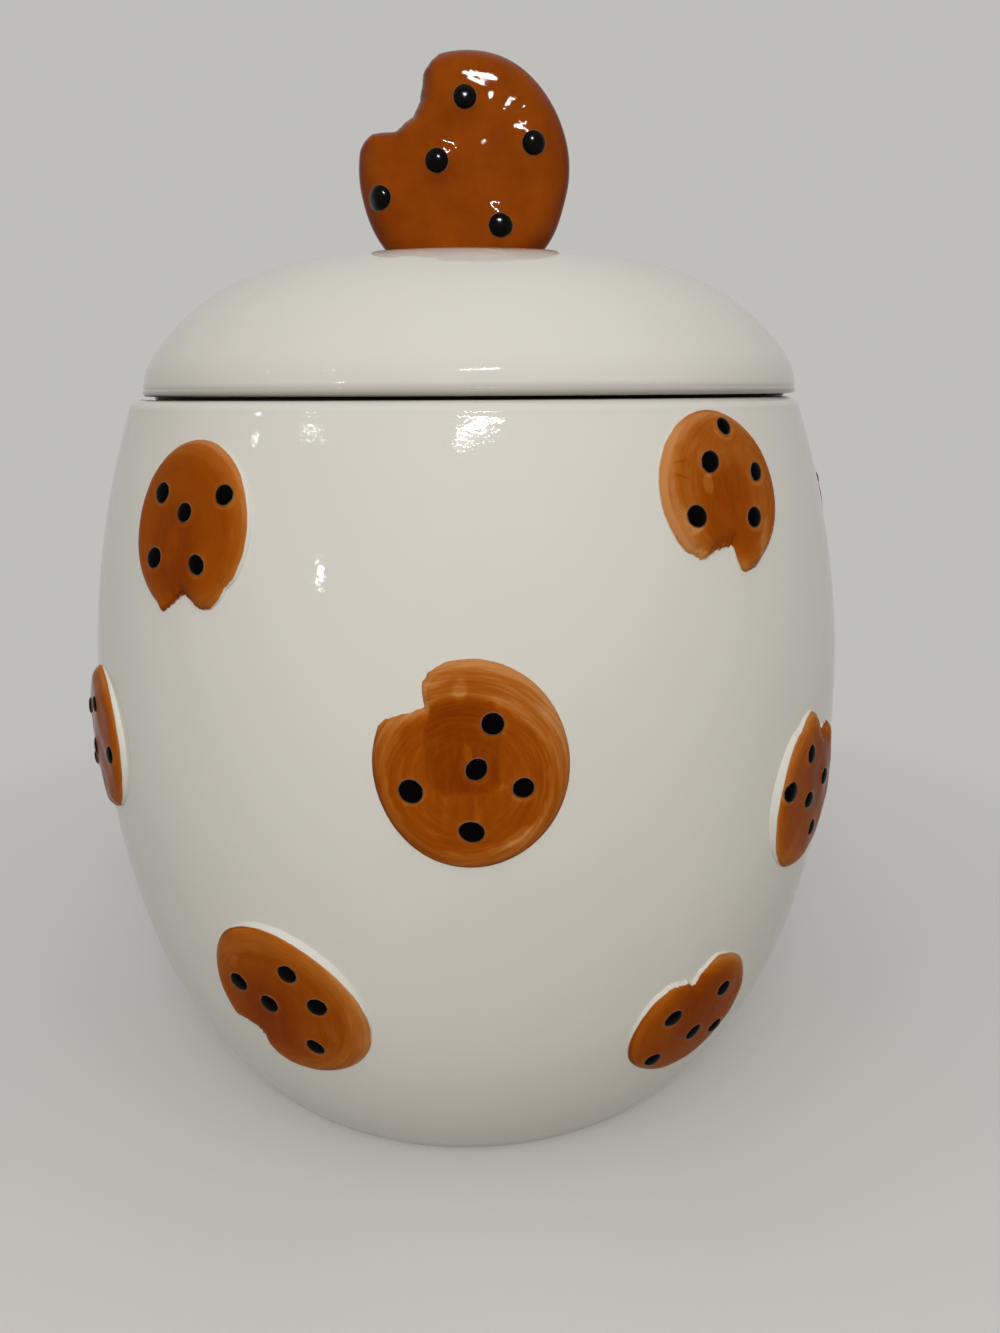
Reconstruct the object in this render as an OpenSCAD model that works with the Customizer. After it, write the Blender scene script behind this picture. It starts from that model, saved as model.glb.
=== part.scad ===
/* [Jar body] */
// Radius of the belly at its widest
belly_r = 110; // [100:1:125]
// Height of the widest point above the table
belly_z = 109; // [98:1:118]
// Height of the jar's rim
rim_z = 198; // [185:1:215]
// Radius of the long upright curve of the side
side_curve = 250; // [230:5:300]
// Radius of the lower curve that draws the side in to the foot
lower_curve = 124; // [112:1:140]
// Angle below the widest point at which the lower curve begins
lower_start = 13.5; // [8:0.5:18]
// Thickness of the fired wall
wall = 6; // [4:0.5:7.5]
// Thickness of the floor
floor_t = 7; // [5:0.5:10]
// Rounding between the floor and the wall, inside
floor_round = 14; // [6:1:20]
// Rounding of the rim's outer shoulder
shoulder_round = 4; // [3:0.5:6]
// Rounding where the side meets the table
foot_round = 3.5; // [2:0.5:6]
// Width of the unglazed foot ring
foot_ring_w = 9; // [6:0.5:14]
// Depth of the recess inside the foot ring
foot_recess = 2; // [1:0.5:3]

/* [Mouth] */
// Width of the rim, from the body's outer face in to the mouth
rim_w = 9.6; // [8.4:0.1:12]
// Height of the thick band round the mouth
mouth_band = 11; // [8:0.5:16]
// Rounding of the mouth's inner edge
mouth_round = 1.5; // [0.5:0.25:2.5]

/* [Lid] */
// Distance by which the lid's edge stays inside the body's outer face
lid_inset = 1.5; // [0.8:0.1:2]
// Distance by which the lid sits to the right of the jar's middle
lid_side = 1.4; // [0:0.1:1.6]
// Height of the lid's crown above the rim
lid_rise = 38.5; // [35:0.5:42]
// Radius of the nearly flat crown
crown_curve = 340; // [300:10:420]
// Radius of the dome's shoulder
dome_curve = 58; // [54:1:66]
// Radius of the curve that turns down to the lid's edge
edge_curve = 15.5; // [13:0.5:18]
// Thickness of the lid's wall
lid_wall = 6; // [4:0.5:7]
// Thickness of the lid where it sits on the rim
seat_t = 6; // [5:0.5:8]
// Width of the ring on which the lid sits
seat_w = 5; // [4:0.5:5.5]
// Height of the shadow gap under the lid's edge
edge_gap = 0.8; // [0.6:0.1:2]
// Radius of the fine bead round the lid's edge
bead_r = 0.9; // [0.6:0.1:1.2]
// Height by which the bead stands out past the curve above it
bead_out = 0.3; // [0.1:0.1:0.5]
// Length of the collar that drops into the mouth
collar_h = 10; // [7:0.5:14]
// Thickness of the collar
collar_t = 5; // [4:0.5:6]
// Clearance between the collar and the mouth, on average
collar_gap = 2.6; // [2:0.1:3.2]

/* [Knob] */
// Radius of the biscuit that serves as a knob
knob_r = 29; // [26:0.5:32]
// Thickness of the knob
knob_t = 22; // [18:0.5:26]
// Height of the knob's centre above the lid's crown
knob_lift = 22.5; // [20:0.5:25]
// Distance by which the knob sits to the right of the lid's middle
knob_side = -1.4; // [-3:0.1:3]
// Radius of the larger of the knob's two tooth marks
knob_bite_r = 10.5; // [8:0.5:12]
// Radius of the smaller one
knob_nip_r = 8; // [6:0.5:9]
// Radius of a chip on the knob, at its foot
knob_chip_r = 3; // [2.6:0.1:3.6]
// Height by which a chip stands out of the knob
knob_chip_rise = 2.4; // [1.6:0.1:2.6]

/* [Relief biscuits] */
// Radius of a middling biscuit
biscuit_r = 19; // [17:0.5:21]
// Height by which a biscuit stands out of the wall
relief = 2; // [1.2:0.1:3]
// Distance of the upper row's middle line below the rim
upper_drop = 24; // [23:0.5:28]
// Height of the middle row's middle line above the widest point
middle_rise = 3; // [-6:1:8]
// Height of the lower row's middle line
lower_z = 53; // [48:1:60]
// Half of the angle at which a bitten corner opens
bite_half = 52; // [40:1:60]
// Radius of a chip on the wall, at its foot
chip_r = 2.2; // [1.8:0.1:2.6]
// Height by which a chip stands out of its biscuit
chip_rise = 1; // [0.6:0.1:1.6]

/* [Hidden] */
$fn = 120;
clear = 1;                      // how far a cutter runs past the face that it cuts
nudge = 0.01;                   // how far a curve stands out past the one it meets, to cross it
far = 2 * rim_z;                // larger than the jar
reach = 3 * biscuit_r;          // longer than any biscuit, so that a bite's cutter leaves it
bore_depth = 0.75 * biscuit_r;  // depth of a biscuit's cutter behind the wall's face

// Centres of the body's two curves, as [radius, height] in the upright section
side_c = [belly_r - side_curve, belly_z];
lower_c = side_c + (side_curve - lower_curve) * [cos(lower_start), -sin(lower_start)];

// Rim: centre of the rounded shoulder, tangent to the side and to the rim's flat top
shoulder_a = asin((rim_z - shoulder_round - side_c.y) / (side_curve - shoulder_round));
shoulder_c = side_c + (side_curve - shoulder_round) * [cos(shoulder_a), sin(shoulder_a)];
shoulder_z = side_c.y + side_curve * sin(shoulder_a);

// Mouth: its radius, and the lower edge of the thick band round it
rim_r = face_r(rim_z);
mouth_r = rim_r - rim_w;
band_z = rim_z - mouth_band;

// Floor and foot
floor_z = foot_recess + floor_t;
foot_r = corner_c(0, 0, foot_round).x;

// Lid: centres of the crown, the dome's shoulder and the edge, above the rim
lid_r = rim_r - lid_inset;
edge_z = edge_gap + bead_r;
crown_c = [0, lid_rise - crown_curve];
edge_c = [lid_r - bead_out - edge_curve, edge_z];
dome_c = meet(crown_c, crown_curve - dome_curve, edge_c, dome_curve - edge_curve);
collar_r = mouth_r - collar_gap;
bore_r = collar_r - collar_t;
seat_r = mouth_r + seat_w;

// Knob
knob_x = lid_side + knob_side;
knob_z = rim_z + lid_rise + knob_lift;
knob_flat = knob_r - knob_t / 2;
knob_ball = cap_radius(knob_chip_r, knob_chip_rise);
knob_bite = knob_r * [-0.72, 0.71];     // middle of the larger tooth mark, from the knob's centre
knob_nip = knob_r * [-0.93, 0.57];      // middle of the smaller one
knob_chips = knob_r * [[0.03, 0.54], [0.65, 0.17], [-0.24, 0.02], [-0.78, -0.3], [0.35, -0.54]];

// Chips on the wall: the ball of which each is a cap, and the height of its foot, which
// just clears its biscuit's face
chip_ball = cap_radius(chip_r, chip_rise);
chip_foot = relief + 2 * nudge;

// Seven ways to strew the chips on a biscuit, as [across, up] from its middle
CHIPS = biscuit_r * [
    [[0.24, 0.53], [0.05, 0.03], [-0.66, -0.24], [0.55, -0.21], [0, -0.71]],
    [[-0.39, 0.37], [0.63, 0.42], [0.08, 0.16], [-0.39, -0.39], [0.37, -0.39]],
    [[0.08, 0.74], [-0.26, 0.34], [0.47, 0.18], [-0.58, -0.26], [0.32, -0.34]],
    [[-0.61, 0.24], [0.18, 0.61], [-0.18, 0.05], [0.53, 0.18], [0.37, -0.53]],
    [[0.34, 0.45], [-0.5, 0.29], [-0.03, -0.18], [-0.61, -0.45], [0.42, -0.32]],
    [[-0.22, 0.6], [-0.78, 0.22], [-0.19, -0.05], [0.37, 0.09], [0.09, -0.56]],
    [[0.06, 0.51], [0.66, -0.04], [-0.54, 0.32], [-0.21, -0.18], [-0.5, -0.45]]
];

// The biscuits of each row, going round the jar from the left of its front. For each, with
// lengths as shares of a middling biscuit's radius: direction round the jar, height above
// the row's middle line, half width, extra length, direction of its length, direction of
// the bite, its depth, kind of chips
UPPER = [
    [-37.5, -0.18, 0.98, 0.08, 75, -86, 0.34, 1],
    [34.5, 0.18, 0.92, 0.06, 120, -92, 0.39, 2],
    [92.3, -0.21, 0.99, 0.17, 100, 140, 0.29, 3],
    [152, 0.08, 0.97, 0.08, 60, -60, 0.34, 0],
    [212, -0.13, 0.99, 0.11, 90, 35, 0.32, 4],
    [264, 0.05, 0.96, 0.08, 110, -110, 0.34, 1]
];
MIDDLE = [
    [0, 0.63, 1.07, 0.21, 95, 127, 0.29, 0],
    [51.5, -0.63, 0.97, 0.21, 85, 65, 0.26, 5],
    [114, 0.32, 1.03, 0.13, 100, -130, 0.32, 2],
    [175, -0.42, 1.07, 0.16, 80, 50, 0.29, 3],
    [236, 0.42, 1.01, 0.13, 95, -75, 0.34, 1],
    [298, 0, 0.93, 0.13, 90, -118, 0.32, 6]
];
LOWER = [
    [-25, 0.3, 1.05, 0.23, 125, -131, 0.24, 3],
    [32, -0.32, 0.93, 0.12, 45, 100, 0.32, 4],
    [91, 0.16, 1.02, 0.13, 70, -45, 0.29, 0],
    [152, -0.11, 1, 0.11, 110, 125, 0.32, 1],
    [213, 0.21, 1.04, 0.16, 60, -150, 0.26, 2],
    [274, -0.16, 0.99, 0.11, 100, 80, 0.32, 3]
];
ROWS = [
    ["upper", rim_z - upper_drop, UPPER],
    ["middle", belly_z + middle_rise, MIDDLE],
    ["lower", lower_z, LOWER]
];

// Where circle 1 and circle 2 meet, to the left of the line from centre 1 to centre 2
function meet(c1, r1, c2, r2) =
    let (d = norm(c2 - c1), along = (d * d + r1 * r1 - r2 * r2) / (2 * d))
    let (off = sqrt(r1 * r1 - along * along), u = (c2 - c1) / d)
    c1 + along * u + off * [-u.y, u.x];

// Radius of the ball of which a cap with this foot radius and rise is cut
function cap_radius(r, rise) = (r * r + rise * rise) / (2 * rise);

// The curve of the body's outer face at a height, as [centre, radius]
function curve_at(z) =
    z > side_c.y - side_curve * sin(lower_start) ? [side_c, side_curve] : [lower_c, lower_curve];

// Angle by which the outer face looks upwards at a height
function face_up(z) = let (k = curve_at(z)) asin((z - k[0].y) / k[1]);

// Radius of the outer face at a height
function face_r(z) = let (k = curve_at(z)) k[0].x + k[1] * cos(face_up(z));

// Centre of a corner of radius r that joins the inset lower curve to the level z
function corner_c(inset, z, r) =
    let (reach_r = lower_curve - inset - r)
    [lower_c.x + sqrt(pow(reach_r, 2) - pow(lower_c.y - z - r, 2)), z + r];

// Direction of a vector, with a length of 1
function unit(v) = v / norm(v);

// Half section between two heights, from the axis outwards
module slab(z0, z1) {
    translate([0, z0]) square([far, z1 - z0]);
}

// A disc, and all that lies between it and the axis
module filled(c, r) {
    translate(c) circle(r, $fn = 240);
    if (c.x > 0) translate([0, c.y - r]) square([c.x, 2 * r]);
}

// Limits a half section below its tangent point with a smaller curve, whose centre lies in
// direction u from the larger curve's centre c
module curve_below(c, r, u, tangent_z) {
    filled(c + nudge * u, r);
    slab(tangent_z, far);
}

// Half section of the body's form, inset from its outer face, from level z0 to level z1
module egg(inset, z0, corner, z1) {
    r = lower_curve - inset;
    c = corner_c(inset, z0, corner);
    u = unit(lower_c - side_c);
    v = unit(c - lower_c);
    intersection() {
        slab(z0, z1);
        filled(side_c, side_curve - inset);
        curve_below(lower_c, r, u, side_c.y + (side_curve - inset) * u.y);
        curve_below(c, corner, v, lower_c.y + r * v.y);
    }
}

// Half section of the lid's form above the rim, inset from its outer face
module dome(inset) {
    r = dome_curve - inset;
    u = unit(dome_c - crown_c);
    v = unit(edge_c - dome_c);
    intersection() {
        slab(edge_z, lid_rise);
        filled(crown_c, crown_curve - inset);
        curve_below(dome_c, r, u, crown_c.y + (crown_curve - inset) * u.y);
        curve_below(edge_c, edge_curve - inset, v, dome_c.y + r * v.y);
    }
}

// Carries its children to the jar's outer face: x goes round, y goes up, z points out
module on_wall(az, z, out = 0) {
    up = face_up(z);
    rotate(az) translate([0, -face_r(z) - out * cos(up), z + out * sin(up)])
        rotate([90 - up, 0, 0]) children();
}

// Outline of a biscuit with a bitten corner
module biscuit_outline(half_w, extra, grain, bite, depth) {
    difference() {
        for (side = [-1, 1])
            rotate(grain) translate([side * extra / 2, 0]) circle(half_w);
        rotate(bite) translate([half_w - depth, 0])
            polygon([[0, 0], [reach, reach * tan(bite_half)], [reach, -reach * tan(bite_half)]]);
    }
}

// The jar's form, grown outwards
module grown_jar(out) {
    rotate_extrude() egg(-out, 0, foot_round, shoulder_z);
}

module jar_body() {
    color("ivory") rotate_extrude() difference() {
        intersection() {
            egg(0, 0, foot_round, rim_z);
            union() {
                filled(shoulder_c + nudge * unit(shoulder_c - side_c), shoulder_round);
                slab(0, shoulder_z);
            }
        }
        intersection() {
            egg(wall, floor_z, floor_round, rim_z + clear);
            polygon([[0, 0], [mouth_r + band_z, 0], [mouth_r, band_z], [mouth_r, far], [0, far]]);
        }
        difference() {
            translate([mouth_r - clear, rim_z - mouth_round]) square(mouth_round + clear);
            translate([mouth_r + mouth_round, rim_z - mouth_round]) circle(mouth_round);
        }
        translate([0, -clear]) square([foot_r - foot_ring_w, foot_recess + clear]);
    }
}

module lid() {
    color("ivory") translate([lid_side, 0, rim_z]) rotate_extrude() difference() {
        union() {
            dome(0);
            translate([bore_r, edge_gap]) square([lid_r - bead_r - bore_r, 2 * bead_r]);
            translate([lid_r - bead_r, edge_z]) circle(bead_r);
            translate([bore_r, 0]) square([seat_r - bore_r, seat_t]);
            translate([bore_r, -collar_h]) square([collar_t, collar_h + seat_t]);
        }
        intersection() {
            dome(lid_wall);
            slab(seat_t, lid_rise);
        }
        square([bore_r, seat_t]);
    }
}

// The knob before it is seated on the lid: a round-edged disc that stands on its edge
module whole_knob() {
    difference() {
        translate([knob_x, 0, knob_z]) rotate([90, 0, 0]) rotate_extrude() {
            translate([0, -knob_t / 2]) square([knob_flat, knob_t]);
            intersection() {
                translate([knob_flat, 0]) circle(knob_t / 2);
                translate([knob_flat, -knob_t / 2]) square([knob_t, knob_t]);
            }
        }
        for (mark = [[knob_bite, knob_bite_r], [knob_nip, knob_nip_r]])
            translate([knob_x + mark[0].x, knob_t / 2 + clear, knob_z + mark[0].y]) rotate([90, 0, 0])
                cylinder(r = mark[1], h = knob_t + 2 * clear);
    }
}

module knob_biscuit() {
    color("chocolate") difference() {
        whole_knob();
        translate([lid_side, 0, rim_z]) rotate_extrude() dome(0);
    }
}

// Chips on one face of the knob, which has the sign side on the y axis
module knob_chips(side) {
    color("black") difference() {
        for (p = knob_chips) {
            past = max(0, norm(p) - knob_flat);
            face = sqrt(pow(knob_t / 2, 2) - past * past);
            translate([knob_x - side * p.x, side * (face - knob_ball + knob_chip_rise), knob_z + p.y])
                sphere(knob_ball, $fn = 48);
        }
        whole_knob();
    }
}

module knob_chips_front() {
    knob_chips(-1);
}

module knob_chips_back() {
    knob_chips(1);
}

module biscuit(row_z, b) {
    color("peru") difference() {
        intersection() {
            grown_jar(relief);
            on_wall(b[0], row_z + b[1] * biscuit_r, -bore_depth)
                linear_extrude(bore_depth + reach)
                    biscuit_outline(b[2] * biscuit_r, b[3] * biscuit_r, b[4], b[5], b[6] * biscuit_r);
        }
        grown_jar(0);
    }
}

module chips(row_z, b) {
    z = row_z + b[1] * biscuit_r;
    color("black") for (p = CHIPS[b[7]])
        on_wall(b[0] + p.x / face_r(z) * 180 / PI, z + p.y * cos(face_up(z)), chip_foot)
            rotate_extrude($fn = 72) intersection() {
                translate([0, chip_rise - chip_ball]) circle(chip_ball, $fn = 240);
                square([chip_r + clear, chip_rise + clear]);
            }
}

jar_body();
lid();
knob_biscuit();
knob_chips_front();
knob_chips_back();
for (row = ROWS, i = [1:len(row[2])]) {
    biscuit(row[1], row[2][i - 1]);
    chips(row[1], row[2][i - 1]);
}
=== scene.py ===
# Biscuit jar: a glazed barrel of a pot, a lid with a bitten biscuit for its knob, and bitten
# biscuits in relief round the wall. The dictionaries are in millimetres and degrees.
import math
import random

import bmesh
import bpy
from mathutils import Matrix, Quaternion, Vector, geometry, noise
from mathutils.kdtree import KDTree


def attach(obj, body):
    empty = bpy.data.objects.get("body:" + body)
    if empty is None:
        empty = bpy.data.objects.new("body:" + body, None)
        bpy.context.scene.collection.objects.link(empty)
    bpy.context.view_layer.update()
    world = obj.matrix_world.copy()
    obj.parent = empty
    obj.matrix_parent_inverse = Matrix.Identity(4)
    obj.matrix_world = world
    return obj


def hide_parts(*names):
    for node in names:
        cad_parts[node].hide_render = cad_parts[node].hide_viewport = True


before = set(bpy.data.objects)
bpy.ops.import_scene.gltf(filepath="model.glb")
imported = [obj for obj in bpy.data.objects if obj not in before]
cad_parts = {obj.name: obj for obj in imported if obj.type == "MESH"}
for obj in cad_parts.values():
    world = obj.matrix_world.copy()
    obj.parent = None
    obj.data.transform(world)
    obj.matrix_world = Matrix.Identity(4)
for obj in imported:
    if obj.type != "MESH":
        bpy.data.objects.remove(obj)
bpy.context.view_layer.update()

mm = 0.001
scene = bpy.context.scene
scene.view_settings.view_transform = "Standard"


# Small helpers

def smooth(low, high, x):
    t = min(max((x - low) / (high - low), 0), 1)
    return t * t * (3 - 2 * t)


def along(points, x):    # straight lines through (x, y) points
    for (x0, y0), (x1, y1) in zip(points, points[1:]):
        if x <= x1:
            return y0 + (y1 - y0) * max(x - x0, 0) / (x1 - x0)
    return points[-1][1]


def polar(r, degrees):
    return r * math.cos(math.radians(degrees)), r * math.sin(math.radians(degrees))


def bend(centre, radius, start, end, count):    # points on an arc, as (radius, height)
    ways = [polar(radius, start + (end - start) * i / count) for i in range(count + 1)]
    return [(centre[0] + x, centre[1] + y) for x, y in ways]


def cornered(points, cuts, count=5):    # a run of straight lines, with its corners rounded
    points, chain = [Vector(p) for p in points], []
    for before, at, after, cut in zip(points, points[1:], points[2:], cuts):
        a, b = at + (before - at).normalized() * cut, at + (after - at).normalized() * cut
        ts = [i / count for i in range(count + 1)]
        chain += [tuple(a * (1 - t) ** 2 + at * 2 * t * (1 - t) + b * t * t) for t in ts]
    return chain


def circlesMeet(c1, r1, c2, r2):    # the crossing on the left of the way from c1 to c2
    c1, c2 = Vector(c1), Vector(c2)
    gap = (c2 - c1).length
    run = (gap * gap + r1 * r1 - r2 * r2) / (2 * gap)
    u = (c2 - c1) / gap
    return c1 + u * run + Vector((-u.y, u.x)) * math.sqrt(r1 * r1 - run * run)


def heading(a, b):    # direction from a to b in degrees
    return math.degrees(math.atan2(b[1] - a[1], b[0] - a[0]))


def meshOf(bm, name):
    mesh = bpy.data.meshes.new(name)
    bm.to_mesh(mesh)
    bm.free()
    return mesh


def spun(chain, steps):    # spins a chain that starts and ends on the axis into a closed shell
    bm = bmesh.new()
    verts = [bm.verts.new((r, 0, z)) for r, z in chain]
    edges = [bm.edges.new(pair) for pair in zip(verts, verts[1:])]
    bmesh.ops.spin(bm, geom=verts + edges, axis=(0, 0, 1), cent=(0, 0, 0), steps=steps,
                   angle=2 * math.pi, use_merge=True)
    bmesh.ops.remove_doubles(bm, verts=bm.verts, dist=1e-4)
    bmesh.ops.recalc_face_normals(bm, faces=bm.faces)
    return bm


def finishPiece(bm, name, material, body, node):
    bmesh.ops.scale(bm, vec=(mm, mm, mm), verts=bm.verts)
    mesh = meshOf(bm, name)
    mesh.shade_smooth()
    mesh.materials.append(material)
    piece = bpy.data.objects.new(name, mesh)
    scene.collection.objects.link(piece)
    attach(piece, body)
    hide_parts(node)
    return piece


# Camera

view = dict(
    place=(0, -306.7, 199.8),
    turn=1.75,      # to the right of straight ahead
    tilt=15.41,     # below the horizon
    roll=-0.33,
    focal=1000,     # in pixels of a frame 1000 wide and 1333 high
    frameHigh=1333,
    sensor=36, nearest=20,    # its width, and how near it still sees
)


def makeCamera():
    turn, tilt, roll = (math.radians(view[k]) for k in ("turn", "tilt", "roll"))
    level = Vector((math.sin(turn), math.cos(turn), 0))
    ahead = level * math.cos(tilt) - Vector((0, 0, math.sin(tilt)))
    right = Vector((math.cos(turn), -math.sin(turn), 0))
    up = right.cross(ahead)
    right, up = (right * math.cos(roll) + up * math.sin(roll),
                 up * math.cos(roll) - right * math.sin(roll))
    camera = bpy.data.objects.new("camera", bpy.data.cameras.new("camera"))
    camera.data.sensor_width = view["sensor"]
    camera.data.lens = view["sensor"] * view["focal"] / view["frameHigh"]
    camera.data.clip_start = view["nearest"] * mm
    facing = Matrix((right, up, -ahead)).transposed().to_4x4()
    camera.matrix_world = Matrix.Translation(Vector(view["place"]) * mm) @ facing
    scene.collection.objects.link(camera)
    scene.camera = camera


# Shader helpers

def add(tree, kind, sockets=None, **settings):    # a node, with numbers set and sockets linked
    made = tree.nodes.new("ShaderNode" + kind)
    for key, value in settings.items():
        setattr(made, key, value)
    for key, value in (sockets or {}).items():
        if isinstance(value, bpy.types.NodeSocket):
            tree.links.new(value, made.inputs[key])
        else:
            made.inputs[key].default_value = value
    return made


def mapRange(tree, value, low, high, toLow=0.0, toHigh=1.0):
    made = add(tree, "MapRange", {"Value": value, "From Min": low, "From Max": high,
                                  "To Min": toLow, "To Max": toHigh}, interpolation_type="SMOOTHSTEP")
    return made.outputs["Result"]


def calc(tree, operation, a, b=0.0):
    return add(tree, "Math", {0: a, 1: b}, operation=operation).outputs[0]


def plus(tree, a, b):
    return calc(tree, "ADD", a, b)


def minus(tree, a, b):
    return calc(tree, "SUBTRACT", a, b)


def times(tree, a, b):
    return calc(tree, "MULTIPLY", a, b)


def vectorCalc(tree, operation, a, b=(0, 0, 0)):    # lengths and dot products are numbers
    made = add(tree, "VectorMath", {0: a, 1: b}, operation=operation)
    return made.outputs["Value" if operation in ("LENGTH", "DOT_PRODUCT") else "Vector"]


def scaled(tree, vector, share):
    return add(tree, "VectorMath", {0: vector, "Scale": share}, operation="SCALE").outputs["Vector"]


def mixed(tree, share, a, b):    # colour a towards colour b
    return add(tree, "Mix", {0: share, 6: a, 7: b}, data_type="RGBA").outputs[2]


def noiseAt(tree, place, scale, detail):
    return add(tree, "TexNoise", {"Vector": place, "Scale": scale, "Detail": detail}).outputs[0]


def read(tree, layer, socket="Fac"):    # what a piece's vertices carry
    return add(tree, "Attribute", attribute_name=layer).outputs[socket]


def newGroup(name, inputs, outputs):
    tree = bpy.data.node_groups.new(name, "ShaderNodeTree")
    for label, kind in inputs:
        tree.interface.new_socket(label, in_out="INPUT", socket_type="NodeSocket" + kind)
    for label, kind in outputs:
        tree.interface.new_socket(label, in_out="OUTPUT", socket_type="NodeSocket" + kind)
    return tree, tree.nodes.new("NodeGroupInput").outputs, tree.nodes.new("NodeGroupOutput").inputs


def useGroup(tree, group, sockets):
    return add(tree, "Group", sockets, node_tree=group).outputs


def newMaterial(name):
    material = bpy.data.materials.new(name)
    material.use_nodes = True
    tree = material.node_tree
    tree.nodes.clear()
    shader = tree.nodes.new("ShaderNodeBsdfPrincipled")
    output = tree.nodes.new("ShaderNodeOutputMaterial")
    tree.links.new(shader.outputs[0], output.inputs[0])
    return material, tree, shader


def dress(tree, shader, colour, roughness, height):    # the height is in millimetres
    bump = add(tree, "Bump", {"Height": height, "Strength": 1.0, "Distance": mm})
    tree.links.new(colour, shader.inputs["Base Color"])
    tree.links.new(roughness, shader.inputs["Roughness"])
    tree.links.new(bump.outputs[0], shader.inputs["Normal"])


# Glazes

glaze = dict(
    white=(0.715, 0.690, 0.625, 1),
    thick=(0.675, 0.645, 0.570, 1),      # where the white lies thicker and warmer
    clay=(0.560, 0.430, 0.300, 1),       # shows through on sharp edges
    bare=(0.740, 0.650, 0.540, 1),       # unglazed foot ring
    bareDull=0.85, bareGrain=0.3,        # its roughness, and the height of its grain
    bareNoise=(1400.0, 4.0),             # scale and detail, as for the edges below
    paintedShade=(0.050, 0.038, 0.028, 1),      # painted shade in the narrow gap where the lid sits on the rim, and at the lid's lower edge
    roughness=0.034, dulling=0.014,      # least roughness, and how much it varies
    brown=[                              # from a thin coat to a thick one
        (0.00, (0.530, 0.222, 0.070, 1)),
        (0.28, (0.400, 0.112, 0.012, 1)),
        (0.55, (0.312, 0.065, 0.002, 1)),
        (1.00, (0.212, 0.034, 0.001, 1)),
    ],
    brownGloss=0.012, knobGloss=0.032,   # specular level, where the white has 0.5
    chipGloss=0.015, knobChipGloss=0.08,
    knobChipDull=0.13,                   # extra roughness of the chips on the knob
    chipRipple=0.6,                      # share of the white glaze's ripples
    black=(0.0016, 0.0012, 0.0010, 1),
    halo=(0.220, 0.105, 0.050, 1),       # bleeding edge round a chip
    haloFrom=(1.02, 1.10), haloNoise=(900.0, 1.0), haloWobble=0.10,    # in chip radii
    brownFrom=(0.05, 0.25), brownNoise=(260.0, 2.0), brownWobble=0.3,  # in millimetres
)

glazeSkin = dict(
    swell=(30.0, 1.0), swellH=0.18,      # scale and detail, and height in millimetres
    wave=(110.0, 1.0), waveH=0.085,      # the roughness follows this one
    ripple=(330.0, 2.0), rippleH=0.022,
    orangePeel=(1100.0, 1.0), orangePeelH=0.014,
    pooling=(9.0, 3.0),
    pooled=(0.35, 0.75), dulled=(0.2, 0.8),    # the spans of the pooling and the wave that count
    nibScale=45.0, nibH=0.16,            # specks under the glaze
    nibMiddle=0.006, nibEdge=0.032,      # from the middle of a speck, in its own scale
    nibRare=0.55,                        # share of the places that stay smooth
)


def makeSkinGroup():    # how a glaze ripples and pools, over a whole fired surface
    tree, given, out = newGroup("glazeSkin", [("Vector", "Vector"), ("Ripple", "Float"), ("Nibs", "Float")],
                                [("Height", "Float"), ("Pooling", "Float"), ("Roughness", "Float")])
    place = given["Vector"]
    wave = noiseAt(tree, place, *glazeSkin["wave"])
    height = times(tree, noiseAt(tree, place, *glazeSkin["swell"]), glazeSkin["swellH"])
    height = plus(tree, height, times(tree, wave, glazeSkin["waveH"]))
    for name in ("ripple", "orangePeel"):
        finer = noiseAt(tree, place, *glazeSkin[name])
        height = plus(tree, height, times(tree, finer, glazeSkin[name + "H"]))
    height = times(tree, height, given["Ripple"])
    nib = add(tree, "TexVoronoi", {"Vector": place, "Scale": glazeSkin["nibScale"]})
    lot = add(tree, "SeparateColor", {"Color": nib.outputs["Color"]}).outputs[0]
    chosen = calc(tree, "GREATER_THAN", lot, glazeSkin["nibRare"])
    bead = mapRange(tree, nib.outputs["Distance"], glazeSkin["nibMiddle"], glazeSkin["nibEdge"],
                    glazeSkin["nibH"], 0.0)
    height = plus(tree, height, times(tree, times(tree, bead, chosen), given["Nibs"]))
    tree.links.new(height, out["Height"])
    pooling = mapRange(tree, noiseAt(tree, place, *glazeSkin["pooling"]), *glazeSkin["pooled"])
    tree.links.new(pooling, out["Pooling"])
    dullest = glaze["roughness"] + glaze["dulling"]
    tree.links.new(mapRange(tree, wave, *glazeSkin["dulled"], glaze["roughness"], dullest), out["Roughness"])
    return tree


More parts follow.
